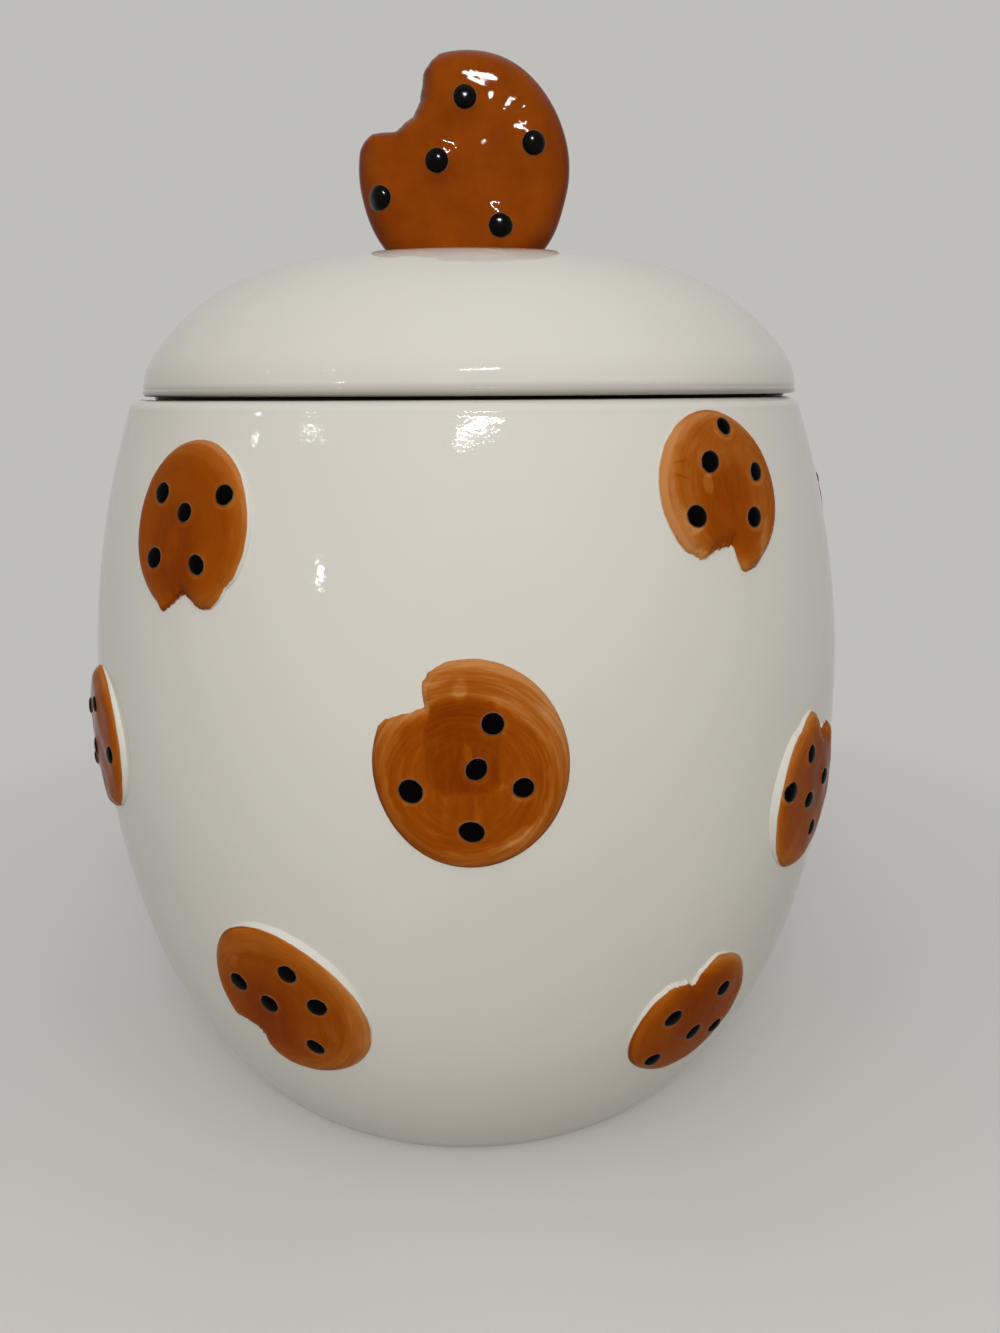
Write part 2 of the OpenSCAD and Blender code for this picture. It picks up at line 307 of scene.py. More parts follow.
# Lengths are in millimetres on the face of a biscuit. A coat of 0 is the palest brown and one
# of 1 the darkest, and what ends in More is added to it. A group of four runs from one place to
# another, and from one strength to another.
brushwork = dict(
    ringShift=3.0,                       # from the biscuit's middle to that of the strokes' rings
    broad=(1.3, 1.5, 3.0), broadShare=0.6,    # strokes by length, width and detail
    hair=(2.6, 0.42, 2.0), hairShare=0.4,
    ringed=(3.0, 15.0, 0.0, 1.1),        # how the strokes along the rings grow outwards
    across=(0.62, 0.16, 0.0),            # straight strokes nearer the middle
    straight=(5.0, 14.0, 0.75, 0.0),     # and how they fade outwards
    lively=(0.45, 1.1),                  # strength of all the strokes, in calm brushwork and lively
    soft=(3.6, 0.45),                    # blur at the edge of a coat, in calm and lively
    patches=(0.16, 2.0),                 # scale and detail
    torn=3.0,                            # how far strokes carry the edge of a coat
    second=dict(radius=16.6, stretch=(1.0, 1.0, 1.0), rough=4.0, square=False),
    secondShift=-2.2, secondMore=0.22,   # the second coat lies away from the lightest side
    spot=dict(radius=7.4, stretch=(0.98, 0.74, 1.0), rough=3.0, square=True),
    spotMore=0.26,
    # a paler rim and a paler side towards the light: partly a thinner coat, partly painted light
    rimFollow=1.6, rimFade=(-0.8, 2.8, 1.0, 0.0), rimMore=-0.11,
    sideFade=(5.0, 18.0), sideMore=-0.06,
    rimThinAndLit=(0.3, 0.9), sideThinAndLit=(0.4, 1.0),    # strength of these two, a thinner coat and painted light, in calm and lively
    # a pale line on the edge facing the light, partly thin glaze and partly painted highlight; a dark line
    # on the edge facing away, partly pooled glaze and partly painted shade
    lightEdge=(0.4, 1.0, 1.0, 0.0), lightFacing=(-0.1, 0.6), lightMore=-0.12,
    darkEdge=(-0.1, 0.5, 1.0, 0.0), darkFacing=(-0.5, 0.3, 1.0, 0.0), darkMore=0.25,
    dab=(2.7, 1.9, 1.0), dabFade=(0.16, 0.30), dabMore=-0.06,    # where the brush has lifted
    worn=0.40,                           # what single marks of the brush take off
    cloudy=(0.11, 3.0),
    fine=0.6,                            # roughness of the noise in strokes and clouds
    ridge=0.04,                          # height of a stroke
)


def makeBrushGroup():    # brown glaze laid on in strokes, with painted light and shade along its rim and edges
    look = brushwork
    numbers = ("Seed", "Vigour", "Thin", "Base Coat", "Strokes", "Laps", "Mottle")
    tree, given, out = newGroup(
        "brushwork",
        [(label, "Vector") for label in ("Flat", "Light Way", "Dark Spot")]
        + [(label, "Float") for label in numbers],
        [("Color", "Color"), ("Strokes", "Float")])
    axes = add(tree, "SeparateXYZ", {"Vector": given["Flat"]}).outputs
    inset = axes[2]
    flat = add(tree, "CombineXYZ", {"X": axes[0], "Y": axes[1]}).outputs[0]
    lightward = vectorCalc(tree, "DOT_PRODUCT", flat, given["Light Way"])
    facing = vectorCalc(tree, "DOT_PRODUCT", vectorCalc(tree, "NORMALIZE", flat), given["Light Way"])

    def byVigour(calm, lively):
        return mapRange(tree, given["Vigour"], 0.0, 1.0, calm, lively)

    def seeded(vector, scale, detail, roughness=0.5):    # noise from -0.5 to 0.5
        made = add(tree, "TexNoise", {"Vector": vector, "W": given["Seed"], "Scale": scale, "Detail": detail,
                                      "Roughness": roughness}, noise_dimensions="4D")
        return minus(tree, made.outputs[0], 0.5)

    # strokes run along rings whose middle lies a little away from the lightest side
    fromMiddle = vectorCalc(tree, "ADD", flat, scaled(tree, given["Light Way"], look["ringShift"]))
    ringR = vectorCalc(tree, "LENGTH", fromMiddle)
    ringWay = vectorCalc(tree, "NORMALIZE", fromMiddle)

    def strokeNoise(length, width, detail):
        lift = add(tree, "CombineXYZ", {"Z": calc(tree, "DIVIDE", ringR, width)}).outputs[0]
        place = vectorCalc(tree, "ADD", scaled(tree, ringWay, length), lift)
        return seeded(place, 1.0, detail, look["fine"])

    strokes = plus(tree, times(tree, strokeNoise(*look["broad"]), look["broadShare"]),
                   times(tree, strokeNoise(*look["hair"]), look["hairShare"]))
    strokes = times(tree, strokes, mapRange(tree, ringR, *look["ringed"]))
    straight = seeded(vectorCalc(tree, "MULTIPLY", flat, look["across"]), 1.0, 3.0, look["fine"])
    straight = times(tree, straight, mapRange(tree, ringR, *look["straight"]))
    strokes = times(tree, plus(tree, strokes, straight), byVigour(*look["lively"]))

    soft = byVigour(*look["soft"])
    patchy = seeded(flat, *look["patches"])

    def lap(centre, radius, stretch, rough, square):    # inside of one coat, with a ragged edge
        apart = vectorCalc(tree, "MULTIPLY", vectorCalc(tree, "SUBTRACT", flat, centre), stretch)
        if square:
            apart = vectorCalc(tree, "MULTIPLY", apart, apart)
        gap = vectorCalc(tree, "LENGTH", apart)
        if square:
            gap = calc(tree, "SQRT", gap)
        edge = plus(tree, gap, times(tree, patchy, rough))
        edge = plus(tree, edge, times(tree, strokes, look["torn"]))
        return mapRange(tree, edge, minus(tree, radius, soft), plus(tree, radius, soft), 1.0, 0.0)

    second = scaled(tree, given["Light Way"], times(tree, given["Vigour"], look["secondShift"]))
    # paler rim and side towards the light: partly a thinner coat, partly painted light
    rim = mapRange(tree, minus(tree, inset, times(tree, facing, look["rimFollow"])), *look["rimFade"])
    rim = times(tree, rim, byVigour(*look["rimThinAndLit"]))
    side = times(tree, mapRange(tree, lightward, *look["sideFade"]), byVigour(*look["sideThinAndLit"]))
    # pale line on the lit edge and dark line on the far edge: thin and pooled glaze, with painted highlight
    # and painted shade
    lightEdge = times(tree, mapRange(tree, inset, *look["lightEdge"]),
                      mapRange(tree, facing, *look["lightFacing"]))
    darkEdge = times(tree, mapRange(tree, inset, *look["darkEdge"]),
                     mapRange(tree, facing, *look["darkFacing"]))
    dabs = mapRange(tree, strokeNoise(*look["dab"]), *look["dabFade"])

    coat = plus(tree, given["Base Coat"], times(tree, strokes, given["Strokes"]))
    coat = minus(tree, coat, times(tree, given["Thin"], look["worn"]))
    for inside, more in ((lap(second, **look["second"]), look["secondMore"]),
                         (lap(given["Dark Spot"], **look["spot"]), look["spotMore"]),
                         (rim, look["rimMore"]), (side, look["sideMore"]), (lightEdge, look["lightMore"]),
                         (darkEdge, look["darkMore"]), (dabs, look["dabMore"])):
        coat = plus(tree, coat, times(tree, inside, times(tree, given["Laps"], more)))
    clouds = seeded(flat, *look["cloudy"], look["fine"])
    coat = plus(tree, coat, times(tree, clouds, given["Mottle"]))
    ramp = add(tree, "ValToRGB", {"Fac": coat})
    stops = ramp.color_ramp.elements
    stops[0].color, stops[1].color = glaze["brown"][0][1], glaze["brown"][-1][1]
    for at, colour in glaze["brown"][1:-1]:
        stops.new(at).color = colour
    tree.links.new(ramp.outputs[0], out["Color"])
    tree.links.new(strokes, out["Strokes"])
    return tree


def whiteCoat(tree, skin, place):    # colour, roughness and relief of the white glaze
    parts = useGroup(tree, skin, {"Vector": place, "Ripple": 1.0, "Nibs": 1.0})
    colour = mixed(tree, parts["Pooling"], glaze["white"], glaze["thick"])
    colour = mixed(tree, read(tree, "thin"), colour, glaze["clay"])
    return colour, parts["Roughness"], parts["Height"]


def makeWhiteGlaze(skin):
    material, tree, shader = newMaterial("whiteGlaze")
    place = add(tree, "TexCoord").outputs["Object"]
    colour, roughness, height = whiteCoat(tree, skin, place)
    bare = read(tree, "bare")
    colour = mixed(tree, bare, colour, glaze["bare"])
    # painted shade: the gap under the lid's edge and the lid's lower edge are darkened in the colour
    colour = mixed(tree, read(tree, "paintedShade"), colour, glaze["paintedShade"])
    roughness = calc(tree, "MAXIMUM", roughness, times(tree, bare, glaze["bareDull"]))
    grain = times(tree, noiseAt(tree, place, *glaze["bareNoise"]), bare)
    dress(tree, shader, colour, roughness, plus(tree, height, times(tree, grain, glaze["bareGrain"])))
    return material


def ragged(tree, value, place, colour):    # where that colour begins
    wobble = times(tree, noiseAt(tree, place, *glaze[colour + "Noise"]), glaze[colour + "Wobble"])
    return mapRange(tree, plus(tree, value, wobble), *glaze[colour + "From"])


def makeBiscuitGlaze(name, skin, brush, gloss, baseCoat, strokes, laps, mottle, ripple):
    material, tree, shader = newMaterial(name)
    shader.inputs["Specular IOR Level"].default_value = gloss
    place = add(tree, "TexCoord").outputs["Object"]
    white, roughness, height = whiteCoat(tree, skin, place)
    painted = useGroup(tree, brush, {
        "Flat": read(tree, "flat", "Vector"), "Light Way": read(tree, "lightWay", "Vector"),
        "Dark Spot": read(tree, "darkSpot", "Vector"), "Seed": read(tree, "seed"),
        "Vigour": read(tree, "vigour"), "Thin": read(tree, "worn"),
        "Base Coat": baseCoat, "Strokes": strokes, "Laps": laps, "Mottle": mottle})
    edge = ragged(tree, read(tree, "paint"), place, "brown")
    colour = mixed(tree, edge, white, painted["Color"])
    height = plus(tree, times(tree, height, ripple),
                  times(tree, painted["Strokes"], brushwork["ridge"] * strokes))
    dress(tree, shader, colour, roughness, height)
    return material


def makeChipGlaze(name, skin, gloss, dull=0.0):
    material, tree, shader = newMaterial(name)
    shader.inputs["Specular IOR Level"].default_value = gloss
    place = add(tree, "TexCoord").outputs["Object"]
    parts = useGroup(tree, skin, {"Vector": place, "Ripple": glaze["chipRipple"], "Nibs": 0.0})
    edge = ragged(tree, read(tree, "rim"), place, "halo")
    colour = mixed(tree, edge, glaze["black"], glaze["halo"])
    dress(tree, shader, colour, plus(tree, parts["Roughness"], dull), parts["Height"])
    return material


# Pot

pot = dict(
    bellyR=110, bellyZ=109, rimZ=198,
    sideCurve=250,          # the long upright curve
    lowerCurve=124,         # the curve that draws in to the foot
    lowerStart=13.5,        # where the lower curve begins, below the widest point
    wall=6, floorZ=9, floorRound=14,
    shoulderRound=4, footRound=3.5,
    footRingW=9, footRecess=2,
    rimW=9.6,               # from the outer face in to the mouth
    band=11,                # height of the thick band round the mouth
    mouthRound=1.5,
    ridgeZ=196.6, ridgeOut=0.17, ridgeW=1.0,    # faint swelling just under the shoulder
    ridgeRings=5,           # how far below it the wall's rings draw closer
    bandSlope=10.5,         # height of the slope under the band
    bandInside=12,          # below which the wall inside runs straight on
    shadeFrom=2.1, shadeFull=2.9,    # painted shade, in from the outer face, on the rim
    shadeEnd=0.6,           # the painted shade ends short of where the lid sits
    uneven=0.22,            # how far the fired wall strays from a true curve
    swells=(55, 21),        # length of its slow swells and of the weaker ones
    weaker=0.3,
    evenTop=8,              # height under the rim over which it comes true again
    skin=2,                 # points this near the outer face belong to it
    wornRim=0.35, wornFoot=0.3,    # how thin the glaze is at the mouth's edge and near the foot
    steps=224,
)
sideC = (pot["bellyR"] - pot["sideCurve"], pot["bellyZ"])
lowerShift = polar(pot["sideCurve"] - pot["lowerCurve"], -pot["lowerStart"])
lowerC = (sideC[0] + lowerShift[0], sideC[1] + lowerShift[1])
lowerTop = sideC[1] + polar(pot["sideCurve"], -pot["lowerStart"])[1]
shoulderSpan = pot["sideCurve"] - pot["shoulderRound"]
shoulderTurn = math.asin((pot["rimZ"] - pot["shoulderRound"] - sideC[1]) / shoulderSpan)
shoulderC = (sideC[0] + shoulderSpan * math.cos(shoulderTurn), pot["rimZ"] - pot["shoulderRound"])
shoulderZ = sideC[1] + pot["sideCurve"] * math.sin(shoulderTurn)
rimR = sideC[0] + math.sqrt(pot["sideCurve"] ** 2 - (pot["rimZ"] - sideC[1]) ** 2)
mouthR = rimR - pot["rimW"]


def faceR(z):    # radius of the outer face at a height
    if z > shoulderZ:
        over = min(z - shoulderC[1], pot["shoulderRound"])
        return shoulderC[0] + math.sqrt(pot["shoulderRound"] ** 2 - over ** 2)
    centre, radius = (sideC, pot["sideCurve"]) if z > lowerTop else (lowerC, pot["lowerCurve"])
    return centre[0] + math.sqrt(radius ** 2 - (z - centre[1]) ** 2)


def unevenness(p):    # slow swells of the wall and lid, in millimetres
    slow, quick = (noise.noise(p / length) * pot["uneven"] for length in pot["swells"])
    return slow + quick * pot["weaker"]


def evenedOut(z):    # the rim is true, so that the lid fits
    return smooth(pot["rimZ"], pot["rimZ"] - pot["evenTop"], z)


def floorCorner(inset, z, radius):    # centre of the corner that joins the inset lower curve to a level
    span = pot["lowerCurve"] - inset - radius
    return (lowerC[0] + math.sqrt(span ** 2 - (lowerC[1] - z - radius) ** 2), z + radius)


def makePot(material):
    footC = floorCorner(0, 0, pot["footRound"])
    ringIn = footC[0] - pot["footRingW"]
    recess, rimZ, rimRound = pot["footRecess"], pot["rimZ"], pot["mouthRound"]
    seat = mouthR + lid["seatW"]
    chain = [(0, recess), (ringIn * 0.5, recess), (ringIn - 3, recess)]
    chain += cornered([(0, recess), (ringIn, recess), (ringIn, 0), (footC[0], 0)], (0.8, 0.6))
    chain += [(footC[0] - 4, 0)]
    footTurn = heading(lowerC, footC)
    chain += bend(footC, pot["footRound"], -90, footTurn, 10)
    chain += bend(lowerC, pot["lowerCurve"], footTurn, -pot["lowerStart"], 36)[1:]
    ridgeTurn = math.degrees(math.asin((pot["ridgeZ"] - pot["ridgeRings"] - sideC[1]) / pot["sideCurve"]))
    chain += bend(sideC, pot["sideCurve"], -pot["lowerStart"], ridgeTurn, 78)[1:]
    chain += bend(sideC, pot["sideCurve"], ridgeTurn, math.degrees(shoulderTurn), 20)[1:]
    chain += bend(shoulderC, pot["shoulderRound"], math.degrees(shoulderTurn), 90, 12)[1:]
    chain += [(rimR - pot["shadeFrom"] - 0.2, rimZ), (rimR - pot["shadeFull"], rimZ)]
    chain += [(seat, rimZ), (seat - pot["shadeEnd"], rimZ)]
    chain += bend((mouthR + rimRound, rimZ - rimRound), rimRound, 90, 180, 8)
    bandZ = rimZ - pot["band"]
    innerTop = bandZ - pot["bandSlope"]    # where the slope under the band meets the wall
    innerCurve = pot["sideCurve"] - pot["wall"]
    innerR = sideC[0] + math.sqrt(innerCurve ** 2 - (innerTop - sideC[1]) ** 2)
    chain += cornered([(mouthR, rimZ), (mouthR, bandZ), (innerR, innerTop),
                       (innerR + 1, innerTop - pot["bandInside"])], (2, 3))
    topTurn = heading(sideC, (innerR, innerTop - 3.5))
    chain += bend(sideC, innerCurve, topTurn, -pot["lowerStart"], 30)
    floorC = floorCorner(pot["wall"], pot["floorZ"], pot["floorRound"])
    floorTurn = heading(lowerC, floorC)
    chain += bend(lowerC, pot["lowerCurve"] - pot["wall"], -pot["lowerStart"], floorTurn, 16)[1:]
    chain += bend(floorC, pot["floorRound"], floorTurn, -90, 10)[1:]
    chain += [(floorC[0] * s, pot["floorZ"]) for s in (0.85, 0.6, 0.35, 0.15, 0)]
    bm = spun(chain, pot["steps"])
    thin, bare, paintedShade = (bm.verts.layers.float.new(name) for name in ("thin", "bare", "paintedShade"))
    for v in bm.verts:
        r = math.hypot(v.co.x, v.co.y)
        # painted shade on the outer part of the rim, under the lid's edge
        rimShade = smooth(rimR - pot["shadeFrom"], rimR - pot["shadeFull"], r)
        rimShade *= smooth(rimZ - 0.5, rimZ - 0.2, v.co.z)
        v[paintedShade] = rimShade * smooth(seat - pot["shadeEnd"], seat - 0.1, r)
        outside = r > faceR(max(v.co.z, 0.2)) - pot["skin"] and v.co.z > 1
        v[bare] = 1 - smooth(0.05, 0.5, v.co.z) if r > ringIn - 0.4 else 0
        rimEdge = smooth(1.6, 0.2, abs(r - mouthR - 0.6)) * smooth(rimZ - 2, rimZ, v.co.z)
        nearFoot = smooth(6, 1, v.co.z) * (1 - v[bare]) if outside else 0
        v[thin] = max(pot["wornRim"] * rimEdge, pot["wornFoot"] * nearFoot)
        if outside and r > 1:
            out = unevenness(v.co) * evenedOut(v.co.z)
            out += pot["ridgeOut"] * math.exp(-((v.co.z - pot["ridgeZ"]) / pot["ridgeW"]) ** 2)
            v.co += Vector((v.co.x, v.co.y, 0)) / r * out
    return finishPiece(bm, "potGlazed", material, "jar", "jar_body")


# Lid

lid = dict(
    inset=1.5, rise=38.5,
    side=1.4,               # how far it sits to the right of the pot's middle
    crownCurve=340, domeCurve=58, edgeCurve=15.5,
    wall=6, seatT=6, seatW=5,
    edgeGap=0.8,            # shadow gap under the edge
    beadR=0.9, beadOut=0.3,
    groove=0.12,            # depth of the line above the bead
    collarH=10, collarT=5, collarGap=2.6,
    edgeTo=6, innerFrom=24,     # degrees at which the edge's outer and inner curves end
    worn=0.22,              # how thin the glaze is on the bead
    edgeShade=0.55, edgeShadeFrom=4.0, edgeShadeFull=0.9,    # painted shade, darker towards the lower edge
    shadeFrom=0.9, shadeFull=1.7,             # painted shade in from the edge, on its underside over the gap
    swellShift=300,         # so that its swells aren't the pot's
    steps=224,
)
lidR = rimR - lid["inset"]
crownZ = pot["rimZ"] + lid["rise"]


def makeLid(material):
    edgeZ = lid["edgeGap"] + lid["beadR"]
    crownC = (0, lid["rise"] - lid["crownCurve"])
    edgeC = (lidR - lid["beadOut"] - lid["edgeCurve"], edgeZ)
    domeC = circlesMeet(crownC, lid["crownCurve"] - lid["domeCurve"],
                        edgeC, lid["domeCurve"] - lid["edgeCurve"])
    crownTurn, domeTurn = heading(crownC, domeC), heading(domeC, edgeC)
    beadC = (lidR - lid["beadR"], edgeZ)
    collar, seat = mouthR - lid["collarGap"], mouthR + lid["seatW"]
    bore = collar - lid["collarT"]
    chain = bend(crownC, lid["crownCurve"], 90, crownTurn, 16)
    chain += bend(domeC, lid["domeCurve"], crownTurn, domeTurn, 26)[1:]
    chain += bend(edgeC, lid["edgeCurve"], domeTurn, lid["edgeTo"], 14)[1:]
    chain += [(lidR - lid["beadOut"] - lid["groove"], edgeZ + lid["beadR"] + 0.15)]
    chain += bend(beadC, lid["beadR"], 55, -90, 10)
    innerCurve = lid["edgeCurve"] - lid["wall"]
    foot = (edgeC[0] + polar(innerCurve, lid["innerFrom"])[0], lid["seatT"])
    chain += cornered([(lidR, lid["edgeGap"]), (seat, lid["edgeGap"]), (seat, 0), (collar, 0),
                       (collar, -lid["collarH"]), (bore, -lid["collarH"]), (bore, lid["seatT"]), foot],
                      (0.5, 0.4, 0.5, 1.6, 1.6, 1.5))
    chain += bend(edgeC, innerCurve, lid["innerFrom"], domeTurn, 8)
    chain += bend(domeC, lid["domeCurve"] - lid["wall"], domeTurn, crownTurn, 18)[1:]
    chain += bend(crownC, lid["crownCurve"] - lid["wall"], crownTurn, 90, 12)[1:]
    bm = spun(chain, lid["steps"])
    thin, paintedShade = (bm.verts.layers.float.new(name) for name in ("thin", "paintedShade"))
    for v in bm.verts:
        r = math.hypot(v.co.x, v.co.y)
        onBead = smooth(1.2, 0.2, abs(v.co.z - edgeZ - 0.3)) * smooth(lidR - 1.5, lidR - 0.6, r)
        v[thin] = lid["worn"] * onBead
        # painted shade: darker towards the lower edge outside, and dark under the edge over the gap
        if v.co.z > lid["edgeGap"] + 0.05:
            v[paintedShade] = lid["edgeShade"] * smooth(lid["edgeShadeFrom"], lid["edgeShadeFull"], v.co.z) * (r > lidR - 4)
        elif r > seat - 0.2:
            v[paintedShade] = smooth(lidR - lid["shadeFrom"], lidR - lid["shadeFull"], r)
        v.co.z += pot["rimZ"]
        if r > 0.1 and v.co.z > pot["rimZ"] + 4:
            v.co += v.co.normalized() * unevenness(v.co + Vector((lid["swellShift"], 0, 0)))
        v.co.x += lid["side"]
    return finishPiece(bm, "lidGlazed", material, "lid", "lid")


# Bitten outlines

# Shape of each bite, as (degrees from its middle, share of the whole biscuit's radius)
bites = dict(
    notch=[(-24, 1), (-14, 0.965), (-8, 0.90), (-4, 0.80), (0, 0.71), (9, 0.77), (17, 0.86), (24, 0.965),
           (29, 1)],
    vee=[(-28, 1), (-22, 1.04), (-16, 0.93), (-9, 0.825), (0, 0.74), (9, 0.79), (14, 0.90), (20, 0.975),
         (27, 1.02), (38, 1.0), (44, 0.965), (49, 0.975), (55, 1)],
    slant=[(-48, 1), (-42, 0.955), (-33, 0.92), (-28, 0.83), (-22, 0.72), (-11, 0.645), (0, 0.62), (3, 0.70),
           (5, 0.82), (8, 0.94), (13, 1.01), (24, 1.03), (34, 1)],
    scoop=[(-26, 1), (-18, 1), (-10, 0.86), (0, 0.76), (9, 0.78), (17, 0.92), (25, 0.965), (36, 1)],
    bay=[(-26, 1), (-19, 0.96), (-12, 0.87), (-5, 0.78), (0, 0.67), (9, 0.77), (17, 0.87), (24, 0.955),
         (40, 1)],
    two=[(-34, 1), (-28, 0.955), (-22, 0.89), (-18, 0.80), (-11, 0.70), (0, 0.65), (10, 0.69), (17, 0.72),
         (20, 0.81), (24, 0.91), (29, 0.97), (34, 1)],
)


edgeLook = dict(
    swell=0.018, swellRound=1.3,    # how far it strays from an oval, as a share, and how often
    tears=(3, 1.3), finer=0.7,      # degrees between the tears, coarse and fine, and the fine ones' share
    tearFull=0.92,                  # share of the radius at which a bite's edge is fully torn
    biteReach=60,                   # degrees within which every bite ends
)


class Outline:    # a bitten biscuit seen from the front, with distances to its edge
    def __init__(self, halfWide, halfLong, grain, bite, biteAt, ragged, seed):
        self.halfWide, self.halfLong, self.grain = halfWide, halfLong, grain
        self.bite, self.biteAt, self.ragged, self.seed = bites[bite], biteAt, ragged, seed
        self.points = [self.point(d / 2) for d in range(720)]
        self.tree = KDTree(len(self.points))
        for i, p in enumerate(self.points):
            self.tree.insert(p, i)
        self.tree.balance()

    def offset(self, degrees):    # degrees from the middle of the bite
        return (degrees - self.biteAt + 180) % 360 - 180

    def radius(self, degrees):
        turn = math.radians(degrees - self.grain)
        whole = self.halfWide * self.halfLong / math.hypot(
            self.halfWide * math.cos(turn), self.halfLong * math.sin(turn))
        swell = noise.noise(Vector((*polar(edgeLook["swellRound"], degrees), self.seed)))
        off = self.offset(degrees)
        share = 1 if abs(off) > edgeLook["biteReach"] else along(self.bite, off)
        coarse, fine = edgeLook["tears"]
        torn = noise.noise(Vector((degrees / coarse, self.seed, 0)))
        torn += edgeLook["finer"] * noise.noise(Vector((degrees / fine, self.seed, 9)))
        torn *= self.ragged * smooth(1, edgeLook["tearFull"], share)
        return whole * share * (1 + edgeLook["swell"] * swell) + torn

    def point(self, degrees):
        return Vector((*polar(self.radius(degrees), degrees), 0))

    def distance(self, x, y):    # to the nearest stretch of the edge, and where that is
        p = Vector((x, y, 0))
        i = self.tree.find(p)[1]
        near = []
        for a, b in ((i - 1, i), (i, (i + 1) % len(self.points))):
            start, end = self.points[a], self.points[b]
            hit, t = geometry.intersect_point_line(p, start, end)
            hit = start + (end - start) * min(max(t, 0), 1)
            near.append((p - hit).length)
        return min(near), i / 2


class Painted:    # what the brush needs to know, written on each vertex
    def __init__(self, bm, seed, vigour, lightAt, darkAt, darkOut):
        layers = bm.verts.layers
        kinds = [("flat", layers.float_vector), ("lightWay", layers.float_vector),
                 ("darkSpot", layers.float_vector), ("seed", layers.float), ("vigour", layers.float),
                 ("paint", layers.float), ("worn", layers.float), ("thin", layers.float)]
        for name, kind in kinds:
            kind.new(name)
        self.layers = {name: kind[name] for name, kind in kinds}
        self.same = dict(seed=seed, vigour=vigour, lightWay=(*polar(1, lightAt), 0),
                         darkSpot=(*polar(darkOut, darkAt), 0))

    def mark(self, v, x, y, inset, paint, worn):
        for name, value in dict(self.same, flat=(x, y, inset), paint=paint, worn=worn).items():
            v[self.layers[name]] = value


def ringed(chips, x, y, radius, width):    # where the glaze draws back round a chip
    most = 0
    for i, (cx, cy) in enumerate(chips):
        gap = math.hypot(x - cx, y - cy) - radius
        # strongest below a chip, and turned a little otherwise round each
        lower = 0.55 - 0.45 * math.sin(math.atan2(y - cy, x - cx) + 0.5 * math.sin(i * 2.3))
        most = max(most, lower * math.exp(-(gap / width) ** 2))
    return most


def touched(marks, x, y):    # how much thinner the coat is under them
    thinner = 0
    for cx, cy, halfWide, halfLong, turn, most in marks:
        a = math.radians(turn)
        run = ((x - cx) * math.cos(a) + (y - cy) * math.sin(a)) / halfLong
        side = ((y - cy) * math.cos(a) - (x - cx) * math.sin(a)) / halfWide
        thinner += most * smooth(1.25, 0.75, math.hypot(run, side))
    return thinner


def hills(chips, x, y, radius, height):    # the clay swells where a chip is pressed on
    return sum(height * math.exp(-((x - cx) ** 2 + (y - cy) ** 2) / radius ** 2) for cx, cy in chips)


def spunRings(rings, steps):    # a closed shell of rings, whose heights are their numbers
    return spun([(0, 0)] + [(1 + i, 1 + i) for i in range(rings)] + [(0, rings + 1)], steps)


def ringPlaces(bm):    # each vertex with its ring and its direction, before it is moved
    return [(v, round(v.co.z), math.degrees(math.atan2(v.co.y, v.co.x))) for v in bm.verts]


# Relief biscuits

relief = dict(
    rise=2.15,           # of a biscuit out of the wall
    crown=0.25,          # extra height in the middle
    toe=0.6,             # how far the glaze runs out past the painted edge
    toeSunk=0.25,        # and how far it then goes into the wall
    shoulder=4.0,        # how far in the rounding reaches
    roundShare=0.8, steepShare=0.2, steepTo=0.5,    # its profile, a round curve and a steep foot
    hillR=3.0, hillH=0.32,
    lumps=0.16, lumpSize=5.5,
    ragged=0.7,          # of the torn edge of a bite
    keyed=1.5,           # depth of its hidden back in the wall
    lively="middle_1",   # the one that was painted with the liveliest brush
    calm=0.25, calmVary=0.15,
    darkTurn=-18, darkOut=0.26,    # the dark spot, from the bite, and as a share of the width
    unpainted=-3,        # paint and inset of hidden faces
    painted=0.6,         # how far past the edge the brown goes where nothing stays white
    rows=dict(upper=174, middle=112, lower=53),
    rowSeeds=dict(upper=1, middle=2, lower=5),
    innerRings=32, ringGap=0.7, steps=240,
)
# How far in from the painted edge the closer rings lie
edgeInsets = (4.2, 3.4, 2.8, 2.2, 1.8, 1.45, 1.2, 1.0, 0.8, 0.65,
              0.5, 0.35, 0.2, 0.05, -0.1, -0.25, -0.4, -0.55, -0.8)

# Ways to strew the chips, as (across, up, share of a middling chip's size)
chipLayouts = [
    [(4.3, 9.9, 1.02), (0.9, 0.3, 1.0), (-12.6, -4.5, 1.12), (10.5, -4.0, 0.96), (-0.2, -13.5, 1.1)],
    [(-7.3, 7.1, 1.08), (12.4, 7.8, 1.0), (1.5, 3.2, 0.97), (-7.7, -7.5, 1.08), (7.0, -7.7, 0.98)],
    [(1.3, 14.2, 0.85), (-5.1, 6.5, 1.07), (9.2, 3.7, 0.9), (-11.1, -4.8, 1.08), (6.2, -6.4, 1.02)],
    [(-11.7, 4.5, 1.12), (3.7, 11.7, 1.06), (-3.3, 0.8, 1.1), (10.1, 3.5, 1.08), (7.1, -10.1, 0.98)],
    [(6.9, 7.8, 1.0), (-9.1, 4.9, 1.05), (-0.1, -3.9, 1.0), (-11.1, -9.3, 1.0), (8.7, -6.4, 0.95)],
    [(-4.3, 11.4, 1.02), (-14.0, 4.2, 1.15), (-3.7, -1.0, 1.0), (7.0, 1.8, 1.0), (1.8, -10.7, 0.95)],
    [(1.1, 9.6, 1.0), (12.6, -0.8, 1.0), (-10.3, 6.0, 0.95), (-4.0, -3.5, 1.0), (-9.5, -8.6, 0.95)],
]

